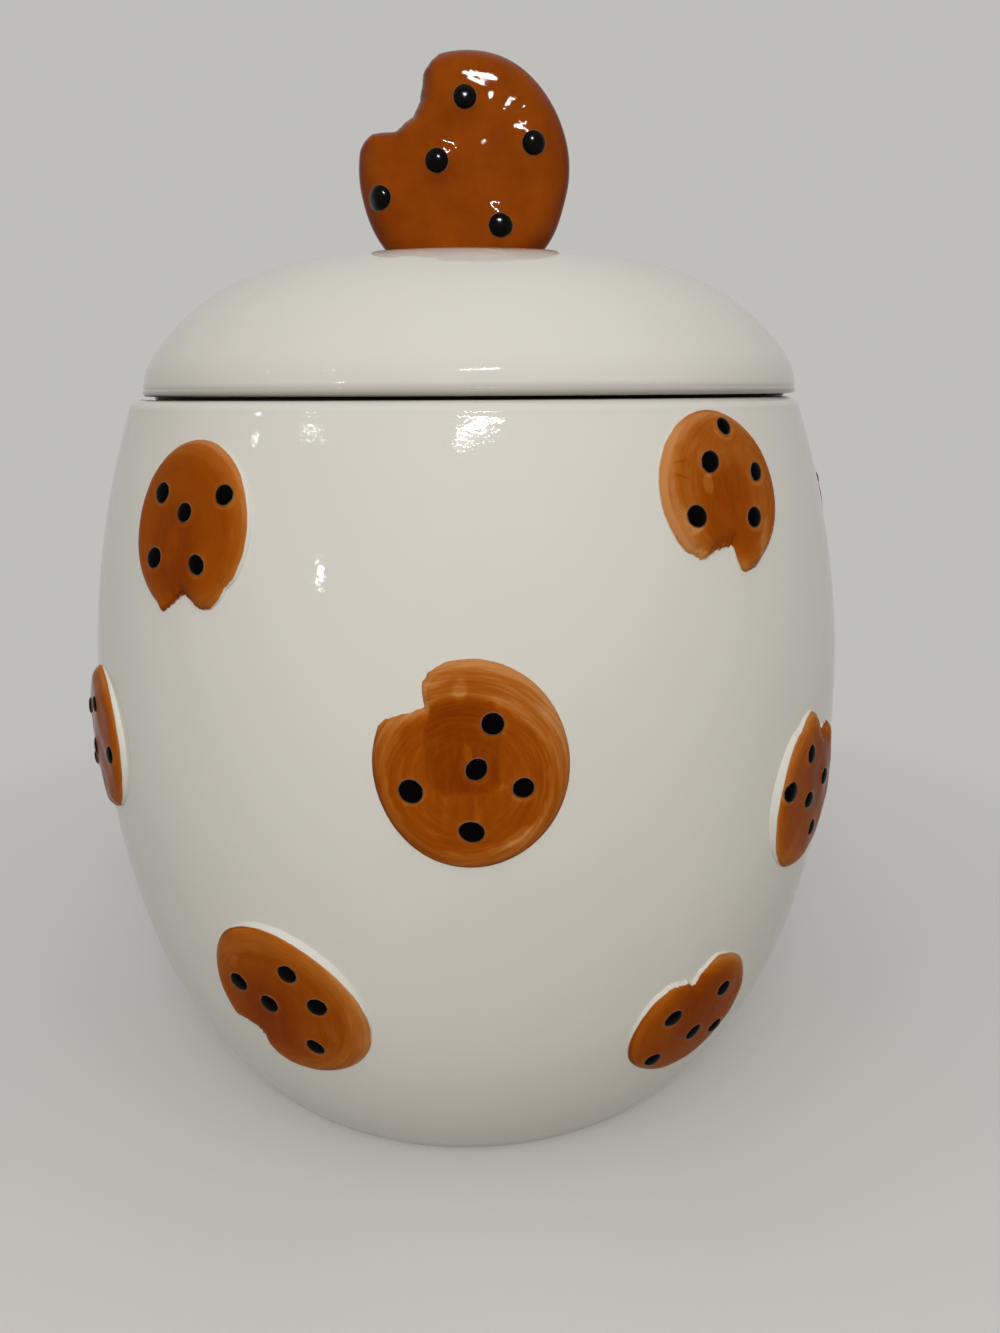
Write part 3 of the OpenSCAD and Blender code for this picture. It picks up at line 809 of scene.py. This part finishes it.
# Single marks of the brush: place, half width, half length, direction, how much thinner the coat
touches = dict(
    middle_1=[(-0.8, 3.7, 0.9, 1.9, 100, 0.7), (1.1, -10.2, 1.0, 2.4, 80, 0.4),
              (5.2, -3.8, 0.8, 2.2, 5, 0.4), (-2.2, 16.8, 1.5, 2.6, 85, 0.5),
              (9.0, -15.0, 1.2, 4.0, 35, 0.4), (-15.5, 1.0, 1.6, 5.0, 88, 0.3)],
    upper_2=[(-6.5, 1.7, 1.5, 2.2, 90, 0.8), (-11.5, -7.8, 0.6, 1.6, 20, 0.6),
             (-13.0, 7.2, 0.25, 1.6, 5, -0.7), (-13.5, 4.1, 0.25, 2.0, -20, -0.7),
             (9.5, -11.0, 1.4, 4.5, 70, 0.5), (-9.5, 10.0, 0.8, 3.5, 40, 0.4),
             (1.0, 2.0, 20.0, 22.0, 90, 0.55)],
    upper_1=[(-2.0, -4.5, 2.4, 5.0, 80, 0.35)],
    lower_1=[(-12.0, 10.5, 1.0, 2.4, 60, 0.4), (12.0, -4.0, 1.5, 4.0, 110, 0.3)],
    middle_2=[(-9.0, -12.0, 2.0, 4.5, 60, 0.35)],
)

# Round the wall from the left of its front: direction, height over the row's line, half
# width, half length, direction of its length, bite, direction of the bite, chip layout,
# side on which the brown is thinner and painted as lit, side on which its flank stays white, and how far in
biscuits = dict(
    upper=[
        (-37.8, -3.4, 18.3, 19.3, 80, "vee", -86, 1, 30, 5, 0.5),
        (34.5, 3.7, 17.5, 18.0, 120, "slant", -91, 2, 200, -10, 0.1),
        (92.3, -4, 18.8, 20.5, 100, "bay", 140, 3, 60, 90, 0.6),
        (152, 1.5, 18.4, 19.2, 60, "vee", -60, 0, 200, 150, 0.4),
        (212, -2.5, 18.8, 19.8, 90, "scoop", 35, 4, 120, 20, 0.7),
        (264, 1, 18.2, 19, 110, "notch", -110, 1, 10, 60, 0.5),
    ],
    middle=[
        (0.0, 11.6, 20.4, 22.3, 92, "notch", 127, 0, 66, 110, 0.0),
        (51.5, -11.8, 18.3, 20.6, 85, "vee", 66, 5, 150, 165, 1.3),
        (114, 6, 19.6, 20.8, 100, "bay", -130, 2, -30, 100, 0.6),
        (175, -8, 20.4, 21.9, 80, "scoop", 50, 3, 170, 60, 0.5),
        (236, 8, 19.2, 20.4, 95, "slant", -75, 1, 80, 130, 0.6),
        (298.7, 0.1, 17.3, 18.5, 90, "vee", -118, 6, 20, 5, 0.9),
    ],
    lower=[
        (-25.5, 5.3, 20.0, 22.3, 125, "scoop", -134, 3, 10, 62, 1.1),
        (32.5, -6.6, 17.6, 18.8, 45, "bay", 102, 4, 60, 125, 0.6),
        (91, 3, 19.4, 20.6, 70, "notch", -45, 0, 120, 90, 0.7),
        (152, -2, 19, 20, 110, "vee", 125, 1, -60, 60, 0.6),
        (213, 4, 19.8, 21.3, 60, "bay", -150, 2, 40, 110, 0.8),
        (274, -3, 18.8, 19.8, 100, "scoop", 80, 3, 160, 75, 0.7),
    ],
)


class WallPatch:    # lays flat points on the wall, round a middle point
    def __init__(self, azimuth, z):
        a = math.radians(azimuth)
        self.across = Vector((math.cos(a), math.sin(a), 0))
        self.middle = Vector((math.sin(a), -math.cos(a), 0)) * faceR(z) + Vector((0, 0, z))
        self.normal = self.normalAt(self.middle)
        self.up = self.normal.cross(self.across)

    def normalAt(self, p):
        step = 0.05
        slope = (faceR(p.z + step) - faceR(p.z - step)) / (2 * step)
        return (Vector((p.x, p.y, 0)).normalized() - Vector((0, 0, slope))).normalized()

    def place(self, x, y, height):
        p = self.middle + self.across * x + self.up * y
        for _ in range(6):
            p -= self.normal * (math.hypot(p.x, p.y) - faceR(p.z) - unevenness(p) * evenedOut(p.z))
        return p + self.normalAt(p) * height


def biscuitHeight(outline, chips, x, y, inset):
    t = min(max((inset + relief["toe"]) / (relief["shoulder"] + relief["toe"]), 0), 1)
    profile = relief["roundShare"] * math.sqrt(1 - (1 - t) ** 2)
    profile += relief["steepShare"] * smooth(0, relief["steepTo"], t)
    middle = math.hypot(x, y) / outline.halfLong
    onTop = smooth(-0.5, 2.5, inset)
    size = relief["lumpSize"]
    lump = relief["lumps"] * noise.noise(Vector((x / size, y / size, outline.seed)))
    hill = hills(chips, x, y, relief["hillR"], relief["hillH"])
    return relief["rise"] * profile + onTop * (relief["crown"] * (1 - middle ** 2) + lump + hill)


def makeBiscuit(row, number, entry, material):
    azimuth, lift, wide, long, grain, bite, biteAt, layout, lightAt, whiteAt, whiteIn = entry
    name = "%s_%d" % (row, number)
    seed = number * 3.7 + relief["rowSeeds"][row]
    outline = Outline(wide, long, grain, bite, biteAt, relief["ragged"], seed)
    chips = [at[:2] for at in chipLayouts[layout]]
    sizes = [at[2] for at in chipLayouts[layout]]
    marks = touches.get(name, [])
    patch = WallPatch(azimuth, relief["rows"][row] + lift)
    inner, edges = relief["innerRings"], len(edgeInsets)
    bm = spunRings(inner + edges + 1, relief["steps"])
    vigour = 1.0 if name == relief["lively"] else relief["calm"] + relief["calmVary"] * math.sin(seed)
    painted = Painted(bm, seed, vigour, lightAt, biteAt + relief["darkTurn"], relief["darkOut"] * wide)
    for v, ring, degrees in ringPlaces(bm):
        radius = outline.radius(degrees)
        if ring <= inner:
            r = (radius - edgeInsets[0] - relief["ringGap"]) * ring / inner
        elif ring <= inner + edges + 1:
            r = radius - edgeInsets[min(ring - inner, edges) - 1]
        else:
            r = 0
        x, y = polar(r, degrees)
        inset = math.copysign(outline.distance(x, y)[0], radius - r)
        bare = whiteIn * max(0, math.cos(math.radians(degrees - whiteAt))) ** 1.5
        paint, height = inset + relief["painted"] - bare, biscuitHeight(outline, chips, x, y, inset)
        height -= relief["toeSunk"] * smooth(-relief["toe"], edgeInsets[-1], inset)
        if ring > inner + edges:    # its hidden back
            inset = paint = relief["unpainted"]
            height = -relief["keyed"]
        drawn = chip["drawn"] * ringed(chips, x, y, chip["radius"] + chip["drawnOut"], chip["drawnW"])
        painted.mark(v, x, y, inset, paint, drawn + touched(marks, x, y))
        v.co = patch.place(x, y, height)
    bmesh.ops.recalc_face_normals(bm, faces=bm.faces)
    finishPiece(bm, "biscuit-" + name.replace("_", "-"), material, "jar", "biscuit_" + name)
    return outline, chips, sizes, patch


chip = dict(
    radius=2.25, rise=0.42,
    halo=0.25,           # width of the pale ring
    proud=0.03,          # how far its rim stands over the biscuit
    skirt=0.9,           # how deep its edge goes in
    vary=0.09,           # how far it strays from round
    level=1.2,           # within this of the biscuit's edge it no longer dips with it
    drawn=0.6, drawnOut=0.65, drawnW=0.45,    # the thin brown round it, where that lies and its width
    rings=9, steps=30,
)


def addChip(bm, at, size, squash, turn, dome, place):
    # one chip: a dome with a pale rim, whose edge dips under what it sits on
    shell = spunRings(chip["rings"], chip["steps"])
    rim = shell.verts.layers.float.new("rim")
    last = chip["rings"]
    for v, ring, degrees in ringPlaces(shell):
        top = ring < last
        r = size * math.sin(math.pi / 2 * min(ring / (last - 2), 1)) if top else 0
        if ring in (last - 1, last):
            r = size + chip["halo"]
        x, y = polar(r, degrees)
        x, y = x * squash, y / squash
        x, y = x * math.cos(turn) - y * math.sin(turn), x * math.sin(turn) + y * math.cos(turn)
        height = dome * math.sqrt(max(1 - (r / size) ** 3, 0)) + chip["proud"] if top else -chip["skirt"]
        v[rim] = r / size
        v.co = place(at[0] + x, at[1] + y, height)
    bmesh.ops.recalc_face_normals(shell, faces=shell.faces)
    mesh = meshOf(shell, "chip")
    bm.from_mesh(mesh)
    bpy.data.meshes.remove(mesh)


def makeChips(row, number, outline, chips, sizes, patch, material):
    bm = bmesh.new()
    draw = random.Random(number * 11 + len(row))
    for (x, y), share in zip(chips, sizes):
        size = chip["radius"] * share
        squash, turn = 1 + draw.uniform(-chip["vary"], chip["vary"]), draw.uniform(0, math.pi)

        def place(px, py, height):
            inset = max(outline.distance(px, py)[0], chip["level"])
            return patch.place(px, py, biscuitHeight(outline, chips, px, py, inset) + height)
        addChip(bm, (x, y), size, squash, turn, chip["rise"], place)
    name = "chips_%s_%d" % (row, number)
    finishPiece(bm, name.replace("_", "-"), material, "jar", name)


# Knob

knob = dict(
    radius=29.2, long=30.0, grain=65,
    bite="two", biteAt=136, ragged=0.22, seed=4.2,
    half=8.2, crown=2.9,
    bowedX=3.6, bowedY=1.0,     # how far the face falls away, across and along
    leanFrom=14, lean=0.075,    # slope of its top, which leans back
    turn=-1.0,                  # degrees by which it faces left
    centreZ=259,
    edgeRound=6.8, biteRound=4.0,
    biteFrom=36, biteFull=26,   # degrees from the bite's middle between which the rounding changes
    faceFrom=0.3, faceFull=4.5,    # in from the edge, where the face's own shape comes in
    lumps=0.34, lumpSize=7.5, dimples=0.19, dimpleSize=2.3,
    sunk=3,                     # depth of its foot in the lid
    hillR=5.0, hillH=1.45,
    chipR=3.0, chipVary=0.04, chipRise=1.6,
    chips=[(0.8, 15.9), (19.1, 5.0), (-7.0, 0.45), (-22.8, -8.35), (9.95, -15.55)],
    flare=(1.3, 2.2),           # how far its left and right run out at the foot
    flareY=(-7, -26), flareX=(8, 21),    # and over which heights and distances they do
    press=(5.6, 22.8),          # where a fingertip has pressed it flat
    pressR=8.2, pressFlat=0.6, pressTall=1.3,    # its reach, the flat share of that, and its shape
    pressAcross=-0.047, pressUp=-0.127,          # slopes of the flat
    pressOut=0.3, pressLumps=0.25,               # its height, and the share of the lumps left on it
    brushSeed=8.3, lightAt=60, darkAt=200, darkOut=12,
    painted=5,                  # so far past the edge that nothing stays white
    pooledAndShadedEdge=0.7, pooledAndShadedSpan=(3.5, 0.3),         # the coat is darker near the edge: pooled glaze and painted shade
    innerRings=22, ringGap=0.6, steps=240,
)
knobInsets = (9.5, 7.9, 6.5, 5.2, 4.0, 3.0, 2.2, 1.55, 1.05, 0.65, 0.35, 0.15, 0.04)


def knobBow(x, y):    # height of a face over its rounded edge
    bow = knob["bowedX"] * (x / knob["radius"]) ** 2 + knob["bowedY"] * (y / knob["radius"]) ** 2
    return knob["crown"] - bow - knob["lean"] * max(y - knob["leanFrom"], 0)


def knobPoint(outline, side, x, y, lift=0.0):
    # a point on the front (side -1) or back (side 1) face, seen from the front at x, y
    inset, near = outline.distance(x, y)
    inBite = smooth(knob["biteFrom"], knob["biteFull"], abs(outline.offset(near)))
    rounding = knob["edgeRound"] + (knob["biteRound"] - knob["edgeRound"]) * inBite
    reach = 1 - min(inset / rounding, 1)
    half = knob["half"] * math.sqrt(max(1 - reach ** 2, 0))
    onFace = smooth(knob["faceFrom"], knob["faceFull"], inset)
    p = Vector((x, y, side * 40))    # so that each face has lumps of its own
    lump = noise.noise(p / knob["lumpSize"]) * knob["lumps"]
    lump += noise.noise(p / knob["dimpleSize"]) * knob["dimples"]
    chips = [(-side * cx, cy) for cx, cy in knob["chips"]]
    face = knobBow(x, y) + lump + hills(chips, x, y, knob["hillR"], knob["hillH"])
    px, py = knob["press"]
    reached = math.hypot(x - px, knob["pressTall"] * (y - py))
    pressed = smooth(knob["pressR"], knob["pressFlat"] * knob["pressR"], reached)
    plane = knobBow(px, py) + knob["pressAcross"] * (x - px) + knob["pressUp"] * (y - py) + knob["pressOut"]
    half += onFace * (face + (plane + knob["pressLumps"] * lump - face) * pressed)
    spread = smooth(*knob["flareY"], y) * smooth(*knob["flareX"], abs(x)) * knob["flare"][x > 0]
    x += math.copysign(spread, x)
    depth, turn = side * (half + lift), math.radians(knob["turn"])
    return Vector((x * math.cos(turn) - depth * math.sin(turn), x * math.sin(turn) + depth * math.cos(turn),
                   max(knob["centreZ"] + y, crownZ - knob["sunk"])))


def makeKnob(material, pieces):
    outline = Outline(*(knob[k] for k in ("radius", "long", "grain", "bite", "biteAt", "ragged", "seed")))
    inner = knob["innerRings"]
    faceRings = inner + len(knobInsets)
    bm = spunRings(2 * faceRings + 1, knob["steps"])
    painted = Painted(bm, knob["brushSeed"], 0, knob["lightAt"], knob["darkAt"], knob["darkOut"])
    for v, ring, degrees in ringPlaces(bm):
        side = -1 if ring <= faceRings else 1
        k = min(ring, 2 * faceRings + 2 - ring)    # counted from that face's middle
        radius = outline.radius(degrees)
        if k <= inner:
            r = (radius - knobInsets[0] - knob["ringGap"]) * k / inner
        elif k <= faceRings:
            r = radius - knobInsets[k - inner - 1]
        else:
            r = radius
        x, y = polar(r, degrees)
        inset = outline.distance(x, y)[0]
        # the coat darkens towards the edge: partly pooled glaze, partly painted shade
        painted.mark(v, x, y, inset, knob["painted"], -knob["pooledAndShadedEdge"] * smooth(*knob["pooledAndShadedSpan"], inset))
        v.co = knobPoint(outline, side, x, y)
    bmesh.ops.recalc_face_normals(bm, faces=bm.faces)
    pieces.objects.link(finishPiece(bm, "knobBiscuit", material, "lid", "knob_biscuit"))
    return outline


def makeKnobChips(outline, side, name, node, material, pieces):
    bm = bmesh.new()
    draw = random.Random(5)
    for cx, cy in knob["chips"]:
        size = knob["chipR"] * (1 + draw.uniform(-knob["chipVary"], knob["chipVary"]))

        def place(px, py, height):
            return knobPoint(outline, side, px, py, height)
        addChip(bm, (-side * cx, cy), size, 1.0, 0.0, knob["chipRise"], place)
    pieces.objects.link(finishPiece(bm, name, material, "lid", node))


# Floor and light

stage = dict(
    floor=(0.74, 0.73, 0.70, 1),
    floorDim=(0.30, 0.29, 0.27, 1),  # what it throws back at the object
    floorDull=0.8,
    backdrop=(0.52, 0.515, 0.50, 1),
    fade=(0.13, 0.40),              # metres from the middle over which the floor turns into the backdrop
    skyLow=(0.02, 0.02, 0.022, 1),   # what lights the object from the sides
    skyHigh=(0.62, 0.62, 0.62, 1),   # and from overhead
    skyFade=(0.15, 0.95),
    size=6.0,
    lamps=[    # place, aimed at, width, height, how far it is tipped, watts, colour, use
        ((0.056, -0.90, 0.77), (0, -0.09, 0.20), 0.25, 0.009, 7, 0.8, (1.0, 0.985, 0.96), "both"),
        ((0.0, -1.20, 0.70), (0, 0, 0.15), 1.0, 0.7, 0, 9.2, (1.0, 0.99, 0.97), "light"),
        ((-0.71, -0.80, 0.39), (-0.07, -0.08, 0.18), 0.022, 0.06, 18, 0.19, (0.97, 0.98, 1.0), "both"),
        ((-0.73, -0.60, 0.71), (-0.05, -0.085, 0.185), 0.17, 0.003, 5, 0.05, (0.97, 0.98, 1.0), "both"),
        ((-0.92, -0.35, 0.63), (-0.065, -0.07, 0.185), 0.009, 0.040, -25, 0.055, (0.97, 0.98, 1.0), "both"),
        ((0.056, -0.90, 0.79), (0, -0.01, 0.28), 0.24, 0.11, -20, 36.0, (1.0, 0.985, 0.96), "knob"),
    ],
)


def studioSeen(tree):    # rays that see the plain backdrop rather than the room's light
    rays = add(tree, "LightPath").outputs
    return calc(tree, "MAXIMUM", rays["Is Camera Ray"],
                calc(tree, "MAXIMUM", rays["Is Glossy Ray"], rays["Is Transmission Ray"]))


def makeStage():
    bm = bmesh.new()
    bmesh.ops.create_grid(bm, x_segments=2, y_segments=2, size=stage["size"] / 2)
    mesh = meshOf(bm, "floor")
    floor = bpy.data.objects.new("floor", mesh)
    scene.collection.objects.link(floor)
    material, tree, shader = newMaterial("paleFloor")
    colour = mixed(tree, studioSeen(tree), stage["floorDim"], stage["floor"])
    tree.links.new(colour, shader.inputs["Base Color"])
    shader.inputs["Roughness"].default_value = stage["floorDull"]
    place = add(tree, "TexCoord").outputs["Object"]
    away = mapRange(tree, vectorCalc(tree, "LENGTH", place), *stage["fade"])
    glow = add(tree, "Emission", {"Color": stage["backdrop"], "Strength": 1.0})
    blend = add(tree, "MixShader", {0: times(tree, away, studioSeen(tree)),
                                    1: shader.outputs[0], 2: glow.outputs[0]})
    output = next(n for n in tree.nodes if n.type == "OUTPUT_MATERIAL")
    tree.links.new(blend.outputs[0], output.inputs[0])
    mesh.materials.append(material)

    world = bpy.data.worlds.new("studio")
    scene.world = world
    world.use_nodes = True
    tree = world.node_tree
    tree.nodes.clear()
    way = add(tree, "SeparateXYZ", {"Vector": add(tree, "TexCoord").outputs["Generated"]}).outputs
    room = mixed(tree, mapRange(tree, way[2], *stage["skyFade"]), stage["skyLow"], stage["skyHigh"])
    colour = mixed(tree, studioSeen(tree), room, stage["backdrop"])
    sky = add(tree, "Background", {"Color": colour, "Strength": 1.0})
    tree.links.new(sky.outputs[0], tree.nodes.new("ShaderNodeOutputWorld").inputs[0])

    knobPieces = bpy.data.collections.new("knobPieces")
    for i, (place, target, width, height, tip, watts, colour, use) in enumerate(stage["lamps"]):
        lamp = bpy.data.lights.new("softbox%d" % i, "AREA")
        lamp.shape, lamp.size, lamp.size_y = "ELLIPSE", width, height
        lamp.energy, lamp.color = watts, colour
        holder = bpy.data.objects.new("softbox%d" % i, lamp)
        holder.location = place
        facing = (Vector(target) - Vector(place)).to_track_quat("-Z", "Y")
        holder.rotation_euler = (facing @ Quaternion((0, 0, 1), math.radians(tip))).to_euler()
        holder.visible_camera = False
        holder.visible_glossy = use != "light"
        holder.visible_diffuse = use != "knob"    # that one only puts highlights on the knob
        if use == "knob":
            holder.light_linking.receiver_collection = knobPieces
        scene.collection.objects.link(holder)
    return knobPieces


makeCamera()
knobPieces = makeStage()
print("stage and camera in place")

skin, brush = makeSkinGroup(), makeBrushGroup()
whiteGlaze = makeWhiteGlaze(skin)
biscuitGlaze = makeBiscuitGlaze("biscuitGlaze", skin, brush, glaze["brownGloss"], baseCoat=0.36,
                                strokes=1.2, laps=1.15, mottle=0.25, ripple=0.5)
knobGlaze = makeBiscuitGlaze("knobGlaze", skin, brush, glaze["knobGloss"], baseCoat=0.75,
                             strokes=0.15, laps=0.1, mottle=0.7, ripple=2.2)
chipGlaze = makeChipGlaze("chipGlaze", skin, glaze["chipGloss"])
knobChipGlaze = makeChipGlaze("knobChipGlaze", skin, glaze["knobChipGloss"], glaze["knobChipDull"])
print("glazes mixed")

makePot(whiteGlaze)
makeLid(whiteGlaze)
print("pot and lid thrown")

for row, entries in biscuits.items():
    for number, entry in enumerate(entries, 1):
        made = makeBiscuit(row, number, entry, biscuitGlaze)
        makeChips(row, number, *made, chipGlaze)
    print(row, "row of biscuits laid on the wall")

knobOutline = makeKnob(knobGlaze, knobPieces)
makeKnobChips(knobOutline, -1, "knobChipsFront", "knob_chips_front", knobChipGlaze, knobPieces)
makeKnobChips(knobOutline, 1, "knobChipsBack", "knob_chips_back", knobChipGlaze, knobPieces)
print("knob made")
